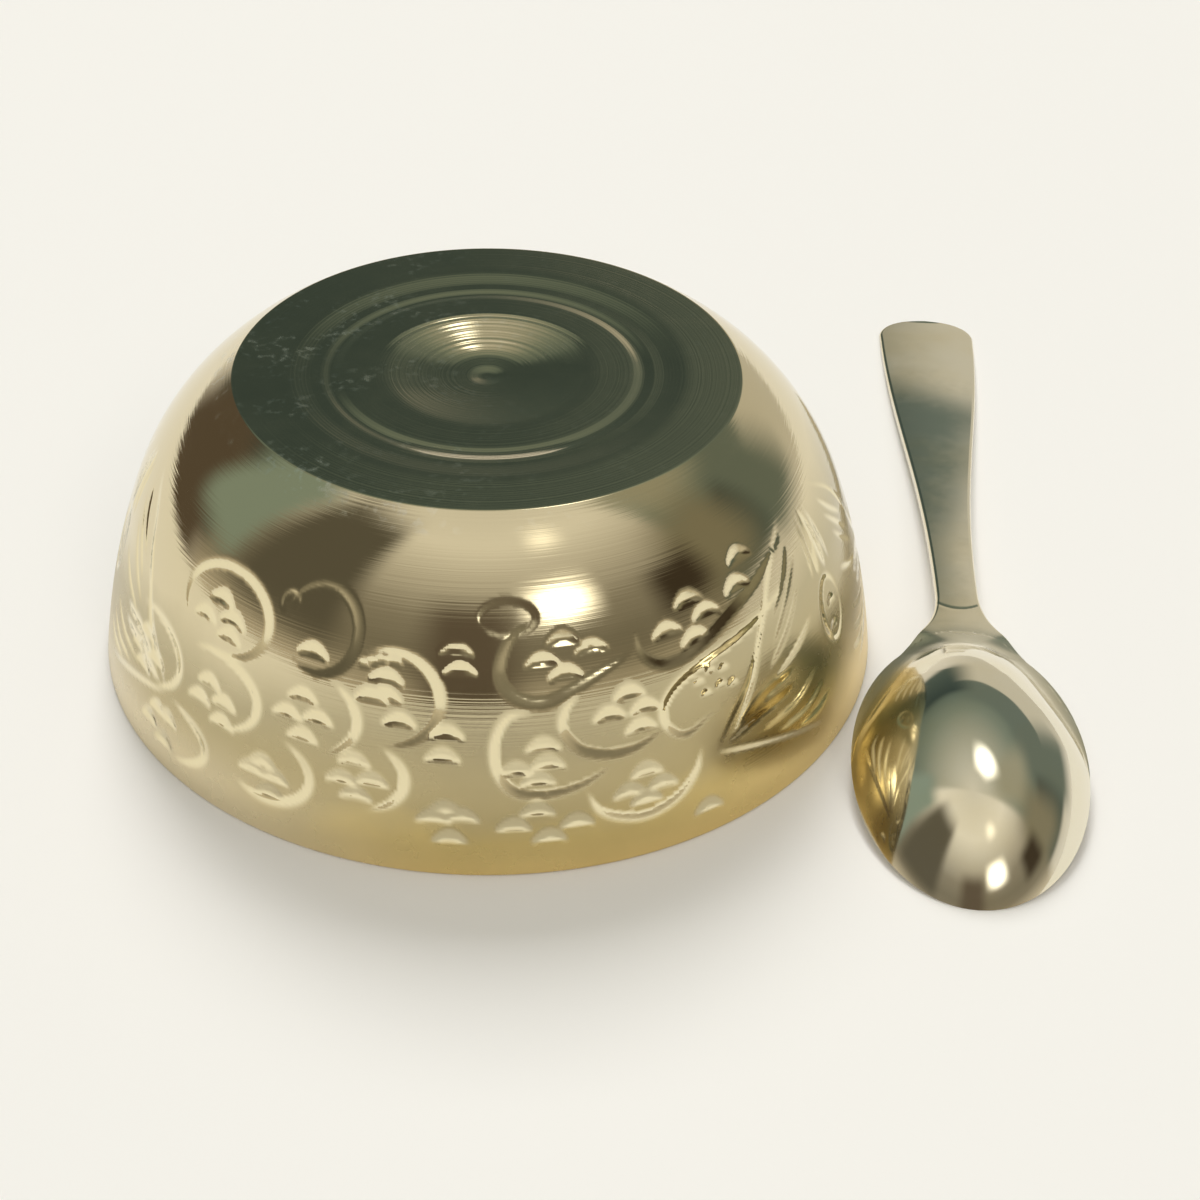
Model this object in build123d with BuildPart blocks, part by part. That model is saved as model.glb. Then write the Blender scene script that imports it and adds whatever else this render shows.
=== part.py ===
# A brass offering bowl, standing upside down on its rim, with its spoon lying face down beside it.
# Millimetres, +Z up. The origin is on the table, at the middle of the bowl's mouth.
import os
from math import atan2, cos, radians, sin, sqrt

from build123d import *

os.makedirs("parts", exist_ok=True)

# Bowl
rim_diameter = 95.0
base_diameter = 59.5
bowl_height = 36.5
bowl_wall = 1.2  # spun metal, equally thick in wall and base
rim_lean = 7.0  # degrees that the wall leans inwards at the rim
base_lean = 58.0  # degrees that it leans inwards where it meets the base
rim_rounding = 0.33  # radius of the rim's two edges, as a share of the wall's thickness
base_edge_radius = 0.5
stand_ring_width = 7.75  # flat ring round the base, on which the bowl stands in use
recess_depth = 0.25  # of the base inside that ring
dish_diameter = 28.0  # the middle of the base is pushed in, and stands up inside the bowl
dish_depth = 1.0
groove_gap = 3.85  # from the dish to the turned groove round it
groove_width = 0.8
groove_depth = 0.2
dimple_diameter = 3.6  # mark of the lathe's centre
dimple_depth = 0.25

# Spoon, with its lengths measured along the plane of its own rim
spoon_length = 127.0
spoon_bowl_length = 41.5
spoon_bowl_width = 27.0
spoon_bowl_depth = 8.5
spoon_wall = 1.1
handle_thickness = 1.6
handle_drop = 16.5  # from the rim's plane to the underside of the handle's end
handle_sag = 5.5  # degrees that the handle flattens out on its way to the end
handle_end_width = 13.9
handle_end_bow = 1.4  # how far the handle's end bulges
handle_corner_radius = 5.0
neck_width = 5.3
neck_run = 10.0  # from the rear of the spoon's bowl to the narrowest place
neck_bend_run = 4.5  # from the rear of the spoon's bowl to the bend of the neck
neck_bend_drop = 1.6  # from the top of the shoulders to the top of that bend
neck_bend_radius = 8.0
shoulder_run = 17.9  # from the rear of the spoon's bowl forwards to where the shoulders start in its wall
shoulder_ease = 14.5  # how far the shoulders keep the rim's direction
neck_ease = 12.2  # how far the shoulders run along the neck
neck_sweep = 33.0  # how far the handle keeps the neck's direction
end_sweep = 28.0  # how far the handle keeps its direction before the end

# Where the spoon lies beside the bowl
spoon_gap = 2.9  # from the bowl's rim to the side of the spoon
spoon_bearing = -30.7  # degrees round the bowl, from +X
spoon_heading = 6.1  # degrees that the handle turns from +Y towards +X


def meeting_of_two_arcs(start, start_direction, end, end_direction):
    """The point where two arcs of equal tangent length meet, on a smooth way from start to end."""
    way = end - start
    both = start_direction + end_direction
    spread = 2 * (1 - start_direction.dot(end_direction))
    tangent = (sqrt(way.dot(both) ** 2 + spread * way.dot(way)) - way.dot(both)) / spread
    return (start + start_direction * tangent + end - end_direction * tangent) / 2


# Bowl: the outer form is turned round the axis and hollowed from the mouth, then the base is turned
rim_radius = rim_diameter / 2
base_radius = base_diameter / 2
recess_radius = base_radius - stand_ring_width
groove_radius = dish_diameter / 2 + groove_gap
rim_point = Vector(rim_radius, 0)
base_point = Vector(base_radius, bowl_height)
rim_direction = Vector(-sin(radians(rim_lean)), cos(radians(rim_lean)))
base_direction = Vector(-sin(radians(base_lean)), cos(radians(base_lean)))
wall_meeting = meeting_of_two_arcs(rim_point, rim_direction, base_point, base_direction)
dish_edge = Vector(dish_diameter / 2, bowl_height)
dish_middle = Vector(0, bowl_height - dish_depth)

with BuildPart() as bowl:
    with BuildSketch(Plane.XZ):
        with BuildLine():
            lower_wall = TangentArc(rim_point, wall_meeting, tangent=rim_direction)
            TangentArc(wall_meeting, base_point, tangent=lower_wall % 1)
            Line(base_point, dish_edge)
            TangentArc(dish_middle, dish_edge, tangent=(1, 0))
            Polyline(dish_middle, (0, 0), rim_point)
        make_face()
    revolve(axis=Axis.Z)
    mouth = bowl.faces().sort_by(Axis.Z)[0]
    offset(amount=-bowl_wall, openings=mouth, kind=Kind.INTERSECTION)
    mouth_edges = bowl.faces().sort_by(Axis.Z)[0].edges()
    fillet(mouth_edges, rim_rounding * bowl_wall)
    base_edge = bowl.faces().sort_by(Axis.Z)[-1].edges().sort_by(SortBy.RADIUS)[-1]
    fillet(base_edge, base_edge_radius)
    with BuildSketch(Plane.XY.offset(bowl_height)):
        Circle(recess_radius)
    extrude(amount=-recess_depth, mode=Mode.SUBTRACT)
    with BuildSketch(Plane.XY.offset(bowl_height)):
        Circle(groove_radius + groove_width)
        Circle(groove_radius, mode=Mode.SUBTRACT)
    extrude(amount=-(recess_depth + groove_depth), mode=Mode.SUBTRACT)
    with BuildSketch(Plane.XY.offset(bowl_height)):
        Circle(dimple_diameter / 2)
    extrude(amount=-(dish_depth + dimple_depth), mode=Mode.SUBTRACT)
bowl.part.label = "bowl"
export_step(bowl.part, "parts/bowl.step")

# Spoon: made in the plane of its own rim, which is tilted so that the front of the rim
# and the underside of the handle's end both touch the table
half_length = spoon_bowl_length / 2
half_width = spoon_bowl_width / 2
spoon_tilt = atan2(handle_drop, spoon_length)
along = Vector(sin(radians(spoon_heading)), cos(radians(spoon_heading)), 0)
across = Vector(0, 0, 1).cross(along)
uphill = along * cos(spoon_tilt) + Vector(0, 0, sin(spoon_tilt))
bearing = Vector(cos(radians(spoon_bearing)), sin(radians(spoon_bearing)), 0)
spoon_middle = bearing * (rim_radius + spoon_gap + half_width)
spoon_front = spoon_middle - along * half_length * cos(spoon_tilt)
rim_plane = Plane(origin=spoon_front, x_dir=uphill, z_dir=uphill.cross(across))
side_plane = Plane(origin=spoon_front, x_dir=uphill, z_dir=across * -1)

# The back of the spoon's bowl is an arc across and an ellipse along
arc_radius = (half_width**2 + spoon_bowl_depth**2) / (2 * spoon_bowl_depth)
arc_drop = arc_radius - spoon_bowl_depth  # from the rim's plane down to the arc's centre
long_radius = half_length * arc_radius / half_width
hull_axis = Axis(side_plane.from_local_coords((half_length, -arc_drop)), uphill)

# Outline of shoulders and handle on the rim's plane
shoulder_share = (half_length - shoulder_run) / half_length
shoulder_half = (half_width - spoon_wall / 2) * sqrt(1 - shoulder_share**2)
shoulder_slope = -half_width * shoulder_share / (half_length * sqrt(1 - shoulder_share**2))
shoulder_point = Vector(spoon_bowl_length - shoulder_run, shoulder_half)
shoulder_direction = Vector(1, shoulder_slope).normalized()
neck_point = Vector(spoon_bowl_length + neck_run, neck_width / 2)
end_corner = Vector(spoon_length - handle_end_bow, handle_end_width / 2)

# Handle seen from the side: shoulders that rise to the rear of the bowl, then a bend and one long arc
shoulder_start = Vector(shoulder_point.X, 0)
shoulder_foot = Vector(spoon_bowl_length, 0)
shoulder_top = Vector(spoon_bowl_length, handle_thickness)
bend_point = shoulder_top + Vector(neck_bend_run, -neck_bend_drop)
end_point = Vector(spoon_length, handle_thickness - handle_drop)
bend_direction = (end_point - bend_point).rotate(Axis.Z, -handle_sag / 2)
under = Vector(0, -handle_thickness)


def hull_half(long_half, short_half):
    """Half an ellipse on the spoon's long axis, which is turned into the hull of its bowl."""
    with BuildSketch(side_plane, mode=Mode.PRIVATE) as half:
        with Locations((half_length, -arc_drop)):
            Ellipse(long_half, short_half)
            Rectangle(2 * long_half, short_half, align=(Align.CENTER, Align.MAX), mode=Mode.SUBTRACT)
    return half.sketch


with BuildPart() as handle:
    with BuildSketch(rim_plane) as outline:
        with BuildLine():
            Bezier(
                shoulder_point,
                shoulder_point + shoulder_direction * shoulder_ease,
                neck_point - Vector(neck_ease, 0),
                neck_point,
            )
            Bezier(
                neck_point,
                neck_point + Vector(neck_sweep, 0),
                end_corner - Vector(end_sweep, 0),
                end_corner,
            )
            ThreePointArc(end_corner, (spoon_length, 0), (end_corner.X, -end_corner.Y))
            mirror(about=Plane.XZ)
            Line(shoulder_point, (shoulder_point.X, -shoulder_point.Y))
        make_face()
        fillet(outline.vertices().sort_by(Axis.X)[-2:], handle_corner_radius)
    extrude(amount=spoon_length, both=True)
    with BuildSketch(side_plane) as band:
        with BuildLine():
            Polyline(shoulder_start, shoulder_top, bend_point)
            TangentArc(bend_point, end_point, tangent=bend_direction)
            Line(end_point, end_point + under)
            TangentArc(bend_point + under, end_point + under, tangent=bend_direction)
            Polyline(bend_point + under, shoulder_foot, shoulder_start)
        make_face()
        fillet(band.vertices().sort_by(Axis.X)[3:5], neck_bend_radius)
    extrude(amount=spoon_bowl_width, both=True, mode=Mode.INTERSECT)

with BuildPart() as spoon:
    revolve(hull_half(long_radius, arc_radius), axis=hull_axis)
    split(bisect_by=rim_plane)
    add(handle.part)
    revolve(hull_half(long_radius - spoon_wall, arc_radius - spoon_wall), axis=hull_axis, mode=Mode.SUBTRACT)
spoon.part.label = "spoon"
export_step(spoon.part, "parts/spoon.step")
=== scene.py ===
import bpy
import numpy as np
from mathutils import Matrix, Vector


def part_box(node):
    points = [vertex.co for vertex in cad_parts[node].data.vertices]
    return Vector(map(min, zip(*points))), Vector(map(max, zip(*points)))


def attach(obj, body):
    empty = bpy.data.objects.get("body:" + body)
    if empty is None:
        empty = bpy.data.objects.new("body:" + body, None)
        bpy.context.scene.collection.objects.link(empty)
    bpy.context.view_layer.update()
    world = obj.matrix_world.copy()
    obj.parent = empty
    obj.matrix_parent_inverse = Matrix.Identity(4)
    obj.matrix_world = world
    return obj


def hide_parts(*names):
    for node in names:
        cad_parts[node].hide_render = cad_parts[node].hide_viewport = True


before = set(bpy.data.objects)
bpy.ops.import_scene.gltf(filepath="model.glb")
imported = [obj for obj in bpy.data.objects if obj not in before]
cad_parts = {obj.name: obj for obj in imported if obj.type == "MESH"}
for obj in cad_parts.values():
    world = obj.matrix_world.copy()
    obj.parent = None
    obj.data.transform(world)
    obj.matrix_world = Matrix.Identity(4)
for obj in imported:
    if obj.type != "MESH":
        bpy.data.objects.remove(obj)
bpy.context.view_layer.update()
mm = 0.001  # shapes are worked out in millimetres
print("frame loaded:", ", ".join(sorted(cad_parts)))


# Small tools for arrays, meshes and nodes

def smoothStep(low, high, value):
    # 0 below low, 1 above high, and an S-shaped rise between them
    t = np.clip((value - low) / (high - low), 0, 1)
    return t * t * (3 - 2 * t)


def smoothMax(a, b, blend):
    # the larger of two heights, with the crease between them rounded over the blend
    return 0.5 * (a + b + np.sqrt((a - b) ** 2 + blend**2))


def arcPoints(centre, radius, fromAngle, toAngle, count):
    # points of a circular arc in the (radius, height) plane
    angle = np.linspace(fromAngle, toAngle, count)
    return np.stack([centre[0] + radius * np.cos(angle), centre[1] + radius * np.sin(angle)], -1)


def closedPiece(name, points, quads, normals, attributes):
    # joins points that coincide, drops collapsed corners, and keeps each corner's own shading normal
    key = np.round(points * 10000).astype(np.int64)
    _, first, joined = np.unique(key, axis=0, return_index=True, return_inverse=True)
    corners = joined.ravel()[quads]
    keep = corners != np.roll(corners, -1, axis=1)
    whole = keep.sum(1) > 2
    keep &= whole[:, None]
    sizes = keep.sum(1)[whole]
    mesh = bpy.data.meshes.new(name)
    mesh.vertices.add(len(first))
    mesh.vertices.foreach_set("co", (points[first] * mm).astype(np.float32).ravel())
    mesh.loops.add(int(sizes.sum()))
    mesh.loops.foreach_set("vertex_index", corners[keep].astype(np.int32))
    mesh.polygons.add(len(sizes))
    mesh.polygons.foreach_set("loop_start", (np.cumsum(sizes) - sizes).astype(np.int32))
    mesh.polygons.foreach_set("use_smooth", np.ones(len(sizes), bool))
    mesh.update(calc_edges=True)
    for title, values in attributes.items():
        layer = mesh.attributes.new(title, "FLOAT", "POINT")
        layer.data.foreach_set("value", values[first].astype(np.float32))
    mesh.normals_split_custom_set(normals[quads[keep]].tolist())
    piece = bpy.data.objects.new(name, mesh)
    bpy.context.scene.collection.objects.link(piece)
    print(name, "has", int((sizes - 2).sum()), "triangles")
    return piece


def addNode(tree, kind, inputs=None, **settings):
    # a node with these settings; an input is a socket to link or a fixed value
    made = tree.nodes.new(kind)
    for key, value in settings.items():
        setattr(made, key, value)
    for key, value in (inputs or {}).items():
        if isinstance(value, bpy.types.NodeSocket):
            tree.links.new(value, made.inputs[key])
        else:
            made.inputs[key].default_value = value
    return made


def mathNode(tree, operation, *values):
    # arithmetic on sockets or numbers
    return addNode(tree, "ShaderNodeMath", dict(enumerate(values)), operation=operation).outputs[0]


def rangeNode(tree, value, low, high, toLow=0.0, toHigh=1.0):
    # toLow up to low, toHigh from high on, and an S-shaped rise between them
    inputs = {0: value, 1: low, 2: high, 3: toLow, 4: toHigh}
    return addNode(tree, "ShaderNodeMapRange", inputs, interpolation_type="SMOOTHSTEP").outputs[0]


def mixColour(tree, share, first, second):
    # the first colour at share 0, the second at share 1
    made = addNode(tree, "ShaderNodeMix", {0: share, 6: first, 7: second}, data_type="RGBA")
    return made.outputs[2]


def rampNode(tree, share, stops):
    # colour between stops of (place from 0 to 1, colour)
    made = addNode(tree, "ShaderNodeValToRGB", {0: share})
    ramp = made.color_ramp
    while len(ramp.elements) < len(stops):
        ramp.elements.new(1.0)
    for element, (place, colour) in zip(ramp.elements, stops):
        element.position = place
        element.color = (*colour, 1)
    return made.outputs[0]


# Bowl: a turned profile carried round the axis, with the engraving cut into the outer wall

bowl = dict(
    rimDiameter=95.0, baseDiameter=59.5, wall=1.2,
    rimLean=7.0, baseLean=58.0,  # degrees that the wall leans inwards
    rimRounding=0.396, baseEdge=0.5,
    recessRadius=22.0, recessDepth=0.25, recessSoft=1.9,  # soft: half-width of a turned step
    grooveInner=17.85, grooveOuter=18.65, grooveDepth=0.2, grooveSoft=1.0,
    dishRadius=14.0, dishDepth=1.0,
    dimpleRadius=1.5, dimpleDepth=0.12, dimpleSoft=0.9,
    columns=160, finer=6,  # columns round the axis, and how many times as many the engraved band has
    bandFrom=2.6, bandTo=32.6, bandRows=82,  # the engraved band, in millimetres along the wall from the rim
    bandGap=(0.5, 0.6),  # from the band to the next plain row below and above it
    samples=4, spread=1.7,  # a cut is the mean of so many places each way, over so many cells
    baseRows=(0.6, 29.0, 25), stepRows=9,  # even rows on the base: from, to and number; rows at each step
    edgeRows=6, highRows=10, lowRows=4, innerRows=12,
    floorRows=[28.4, 27.6, 24.0, 19.0, 15.0, 14.3, 13.7, 12.5, 10.5, 8.0, 5.0, 2.0],  # radii inside
)
bowl["height"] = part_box("bowl")[1].z / mm


def wallArcs(b):
    # two arcs of equal tangent length lead from the rim's lean to the base's lean, inside the outline
    rim, base = np.array([b["rimDiameter"] / 2, 0.0]), np.array([b["baseDiameter"] / 2, b["height"]])
    leans = np.radians([b["rimLean"], b["baseLean"]])
    start, end = np.stack([-np.sin(leans), np.cos(leans)], -1)
    way, both = base - rim, start + end
    spread = 2 * (1 - start @ end)
    tangent = (np.sqrt((way @ both) ** 2 + spread * (way @ way)) - way @ both) / spread
    meeting = (rim + start * tangent + base - end * tangent) / 2
    chord = base - end * tangent - rim - start * tangent
    middle = np.arctan2(-chord[0], chord[1])
    radii = tangent / np.tan((np.array([middle, leans[1]]) - np.array([leans[0], middle])) / 2)
    centres = np.stack([
        rim - radii[0] * np.array([np.cos(leans[0]), np.sin(leans[0])]),
        meeting - radii[1] * np.array([np.cos(middle), np.sin(middle)]),
    ])
    return dict(centres=centres, radii=radii, angles=np.array([leans[0], middle, leans[1]]))


arcs = wallArcs(bowl)
lowerLength = arcs["radii"][0] * (arcs["angles"][1] - arcs["angles"][0])


def wallAt(s):
    # point and outward normal of the outer wall, s millimetres along it from the rim
    lower = s < lowerLength
    angle = np.where(
        lower,
        arcs["angles"][0] + s / arcs["radii"][0],
        arcs["angles"][1] + (s - lowerLength) / arcs["radii"][1],
    )
    centre = np.where(lower[..., None], arcs["centres"][0], arcs["centres"][1])
    radius = np.where(lower, *arcs["radii"])
    normal = np.stack([np.cos(angle), np.sin(angle)], -1)
    return centre + radius[..., None] * normal, normal


def baseHeight(b, r):
    # height of the turned base: flat ring, recessed middle, groove, shallow dish and centre dimple
    def beyond(edge, soft):  # 0 inside a turned step and 1 outside it
        return smoothStep(b[edge] - b[soft], b[edge] + b[soft], r)

    dishCurve = (b["dishRadius"] ** 2 + b["dishDepth"] ** 2) / (2 * b["dishDepth"])
    inDish = np.minimum(r, b["dishRadius"])
    dish = b["height"] - b["dishDepth"] + dishCurve - np.sqrt(dishCurve**2 - inDish**2)
    dish = np.where(r < b["dishRadius"], dish, b["height"])
    recess = b["height"] - b["recessDepth"] * (1 - beyond("recessRadius", "recessSoft"))
    groove = beyond("grooveInner", "grooveSoft") * (1 - beyond("grooveOuter", "grooveSoft"))
    dimple = 1 - beyond("dimpleRadius", "dimpleSoft")
    return np.minimum(recess, dish) - b["grooveDepth"] * groove - b["dimpleDepth"] * dimple


def bowlProfile(b):
    # the section from the middle of the base over the wall, round the rim and back inside to the middle
    steps = np.array([
        [b["dimpleRadius"], b["dimpleSoft"]], [b["grooveInner"], b["grooveSoft"]],
        [b["grooveOuter"], b["grooveSoft"]], [b["recessRadius"], b["recessSoft"]],
    ])
    near = steps[:, :1] + steps[:, 1:] * np.linspace(-1.05, 1.05, b["stepRows"])
    r = np.sort(np.r_[np.linspace(*b["baseRows"]), near.ravel()])
    base = np.stack([r, baseHeight(b, r)], -1)
    (lowC, highC), (lowR, highR) = arcs["centres"], arcs["radii"]
    edge, rimEdge, wall = b["baseEdge"], b["rimRounding"], b["wall"]

    def onArc(centre, radius, z):  # the arc's point at a height, and its angle
        x = np.sqrt(radius**2 - (z - centre[1]) ** 2)
        return np.array([centre[0] + x, z]), np.arctan2(z - centre[1], x)

    edgeC, edgeAngle = onArc(highC, highR - edge, b["height"] - edge)
    baseEdge = arcPoints(edgeC, edge, np.pi / 2, edgeAngle, b["edgeRows"])
    topS = lowerLength + highR * (edgeAngle - arcs["angles"][1])
    outC, outAngle = onArc(lowC, lowR - rimEdge, rimEdge)
    inC, inAngle = onArc(lowC, lowR - wall + rimEdge, rimEdge)
    lowS = lowR * (outAngle - arcs["angles"][0])
    gapBelow, gapAbove = b["bandGap"]
    high = wallAt(np.linspace(topS, b["bandTo"] + gapAbove, b["highRows"]))[0][1:]
    band = np.linspace(b["bandTo"], b["bandFrom"], b["bandRows"])
    low = wallAt(np.linspace(b["bandFrom"] - gapBelow, lowS, b["lowRows"]))[0]
    rim = np.concatenate([
        arcPoints(outC, rimEdge, outAngle, -np.pi / 2, b["edgeRows"])[1:],
        arcPoints(inC, rimEdge, -np.pi / 2, inAngle - np.pi, b["edgeRows"]),
    ])
    floor = b["height"] - wall
    cornerAngle = onArc(highC, highR - wall, floor)[1]
    inner = np.concatenate([
        arcPoints(lowC, lowR - wall, inAngle, arcs["angles"][1], b["innerRows"])[1:],
        arcPoints(highC, highR - wall, arcs["angles"][1], cornerAngle, b["innerRows"])[1:],
    ])
    floorCurve = (b["dishRadius"] ** 2 + b["dishDepth"] ** 2) / (2 * b["dishDepth"]) + wall
    floorR = np.array(b["floorRows"])
    floorZ = floor - b["dishDepth"] + floorCurve - np.sqrt(floorCurve**2 - floorR**2)
    inside = np.stack([floorR, np.minimum(floorZ, floor)], -1)
    outer = np.concatenate([base, baseEdge, high])
    top = np.array([[0.0, b["height"] - b["dishDepth"] - b["dimpleDepth"]]])
    bottom = np.array([[0.0, floor - b["dishDepth"]]])
    rows = np.concatenate([top, outer, wallAt(band)[0], low, rim, inner, inside, bottom])
    counts = np.full(len(rows), b["columns"])
    counts[[0, -1]] = 1
    firstBand = 1 + len(outer)
    counts[firstBand : firstBand + len(band)] *= b["finer"]
    return rows, counts, slice(firstBand, firstBand + len(band)), band


def ringFaces(counts):
    # quads between neighbouring rings; a ring may be one point, or some whole number of times finer
    starts = np.cumsum(counts) - counts
    faces = []
    for a, b, m, n in zip(starts[:-1], starts[1:], counts[:-1], counts[1:]):
        i = np.arange(min(m, n) if min(m, n) > 1 else max(m, n))
        j = (i + 1) % len(i)
        if m == n:
            faces.append(np.stack([a + i, b + i, b + j, a + j], -1))
        elif m == 1:
            faces.append(np.stack([a + 0 * i, b + i, b + j, b + j], -1))
        elif n == 1:
            faces.append(np.stack([a + i, b + 0 * i, a + j, a + j], -1))
        else:
            k = max(m, n) // min(m, n)
            fine, coarse = (b, a) if n > m else (a, b)
            for q in range(k + 1):  # a fan from each coarse corner over half of the finer edge
                apex = coarse + (i if 2 * q <= k else j)
                one = fine + i * k + (q if 2 * q <= k else q - 1)
                two = fine + (i * k + (q + 1 if 2 * q < k else q)) % max(m, n)
                if 2 * q == k:
                    two = coarse + j
                tri = np.stack([apex, one, two, two], -1)
                faces.append(tri if n > m else tri[:, [0, 2, 1, 1]])
    return np.concatenate(faces)


# Engraving: places are (degrees round the bowl from its front, millimetres up the wall from the rim)

degreeWide = 0.77  # millimetres to a degree, halfway up the wall
engraving = dict(
    strokeWidth=1.35, strokeSlope=0.24, hollow=0.3,  # hollow: how much the facet steepens, as a share
    shallow=0.55, cutFull=0.05,  # depth as a share of what the slope gives; depth of bare fresh metal
    swell=(2.4, 0.7), pastEnd=0.6,  # how a stroke swells from its ends, and reaches past them
    curlWidth=0.5, leafWidth=0.62, facetWidth=1.2, budWidth=0.8,  # shares of the stroke's width
    scaleWidth=4.0, scaleHeight=1.5, scaleSlope=0.24, scaleEnd=0.9, stepShade=0.35,
    scaleSag=0.15, scaleFoot=0.3, tickSize=0.42, budMarkSize=0.55,  # sizes are shares of a scale
    flowerAt=(64.0, 170.0, 276.0), cloudShift=104.0, cloudMirror=236.0,
    rings=[  # middle, half-width in degrees, half-height, and the angles between which it is cut
        (-44.3, 24.2, 9.3, 5.0, 215, -100), (-26.5, 26.7, 6.5, 5.0, 165, -115),
        (-43.3, 15.0, 8.7, 4.4, 130, -75), (-27.0, 17.1, 8.4, 4.8, 60, -60),
        (-14.6, 20.8, 7.9, 5.4, 115, -85), (-32.5, 8.8, 7.4, 4.2, 70, -130),
        (-18.4, 11.3, 7.1, 4.2, 60, -75), (-59.6, 13.8, 8.7, 4.4, 125, -75),
        (-52.6, 6.3, 9.3, 3.6, 85, -75),
    ],
    curls=[(-32.6, 28.4, 1.7, 1.3, 0, 250), (3.0, 30.2, 4.6, 1.9, 200, -150)],
    tails=[
        [(7.3, 29.6), (3.5, 28.2), (1.5, 24.6), (3.2, 21.9), (7.5, 20.8), (12, 21.8), (16.5, 23.3),
         (21, 24.6)],
        [(22.8, 27.2), (23.2, 24.4), (26, 22.6), (30, 22.4), (34.7, 23.4), (40.2, 25), (47.7, 26.7),
         (57, 29.2)],
        [(13, 21.4), (10.8, 19.8), (10.3, 17.5), (12.5, 15), (16.5, 13.8), (20.5, 13.8), (25, 15)],
        [(54, 24.6), (47, 23.2), (41, 22.3), (33, 21.2), (28, 19.8), (25.4, 17.6), (25.8, 15.2),
         (29, 13.6), (34, 15.2)],
        [(6, 20), (2.5, 19.4), (0.6, 16.5), (1, 13), (3.5, 10.6), (8, 10), (13, 10.8), (16.8, 12.3)],
        [(13.4, 9.8), (15, 7.2), (18.5, 5.7), (22.5, 5.3), (27, 6.5), (30, 8.8), (31, 11.2)],
    ],
    cloudTails=(0, 2, 4, 5),  # those of the tails that also fill the gaps at the back
    scales=[
        (-45.3, 25.0), (-47.9, 22.4), (-42.2, 23.4), (-42.2, 21.5), (-27.0, 23.8), (-44.4, 15.2),
        (-46.0, 12.7), (-41.0, 13.7), (-41.0, 11.3), (-27.6, 18.6), (-29.8, 16.1), (-24.9, 16.5),
        (-27.0, 14.0), (-15.1, 22.8), (-15.1, 20.9), (-17.1, 20.5), (-12.7, 18.2), (-33.0, 9.0),
        (-34.7, 7.7), (-30.9, 7.7), (-31.4, 5.5), (-18.9, 12.7), (-20.5, 10.2), (-16.2, 10.7),
        (-18.4, 8.6), (-61.2, 14.4), (-63.4, 11.7), (-57.4, 12.5), (-61.2, 10.2), (-55.3, 6.9),
        (-52.6, 6.9), (-57.4, 4.8), (-53.1, 3.6), (-4.8, 26.5), (-4.2, 24.4), (-5.9, 17.3),
        (-6.4, 14.6), (-5.9, 8.3), (-7.5, 7.2), (-3.7, 7.5), (-5.3, 4.8), (33.1, 28.2),
        (28.2, 25.7), (35.6, 26.2), (32.8, 24.0), (45.6, 30.1), (42.9, 27.3),
    ],
    cloudScales=[
        (11.4, 27.3), (15.7, 26.0), (8.1, 25.2), (11.4, 23.6), (20.6, 20.2), (17.4, 18.2),
        (22.8, 18.2), (21.9, 16.1), (7.6, 15.7), (3.8, 13.0), (8.1, 13.6), (6.7, 11.7),
        (22.2, 10.7), (19.5, 8.6), (24.4, 8.6), (21.9, 7.3), (6.5, 8.0), (3.3, 6.3),
        (11.9, 6.2), (8.1, 4.7), (31.5, 3.6),
    ],
    ticks=[(-18.6, 24.2), (-17.4, 24.6), (-16.2, 24.9), (-15.0, 25.0), (-13.8, 24.9)],
    punches=[(32.0, 19.2), (34.2, 20.0), (36.6, 19.6), (33.0, 17.6), (35.6, 17.9), (37.8, 17.4)],
    leaf=[  # left half of a flower, from its middle line; the right half is its mirror image
        [(-30.5, 10.2), (-27.5, 13.2), (-22.8, 17), (-18.4, 22), (-14, 26.5), (-7, 30.2)],
        [(-28, 10.5), (-22.8, 15.6), (-19.2, 21), (-15.6, 25.6)],
        [(-30.5, 10.0), (-25, 8.9), (-17, 7.0), (-8, 4.6)],
        [(-18.5, 16.4), (-13, 19.2), (-8, 22.8)], [(-16.8, 18.8), (-12, 22), (-7, 25.6)],
        [(-15.6, 21.8), (-11, 24.6), (-7.4, 27.6)], [(-18.4, 14.6), (-12, 16.2), (-6.4, 18.4)],
        [(-22, 9.6), (-14, 10.2), (-8, 12)], [(-19, 8.2), (-12, 8.2), (-6.5, 9.6)],
        [(-15.5, 6.8), (-9.5, 6.6), (-5, 7.6)], [(-3.4, 21.6), (-2.6, 25), (-2.2, 28.4)],
    ],
    facets=[  # broad bright cuts inside the leaf
        [(-28.5, 10.6), (-22, 12.2), (-14, 12.6)], [(-26.5, 12.2), (-20, 14.2), (-13.5, 14.4)],
        [(-1.2, 21.2), (-0.6, 24.6), (0, 29.2)],
    ],
    bud=(0.0, 16.3, 3.4, 4.1, 0, 359), budMarks=[(0.3, 17.2), (-0.4, 14.2)],
)


def smoothPath(corners, step=0.35):
    # a smooth curve through a few corners, each span a cubic with the slope of its neighbours
    p = np.array(corners, float)
    p = np.vstack([2 * p[0] - p[1], p, 2 * p[-1] - p[-2]])
    spans = len(p) - 3
    length = np.hypot(np.diff(p[:, 0]) * degreeWide, np.diff(p[:, 1])).sum()
    t = np.linspace(0, spans - 1e-6, max(int(length / step), 8))
    k = t.astype(int)
    f = (t - k)[:, None]
    a, b, c, d = p[k], p[k + 1], p[k + 2], p[k + 3]
    return 0.5 * (2 * b + (c - a) * f + (2 * a - 5 * b + 4 * c - d) * f**2 + (3 * b - a - 3 * c + d) * f**3)


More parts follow.
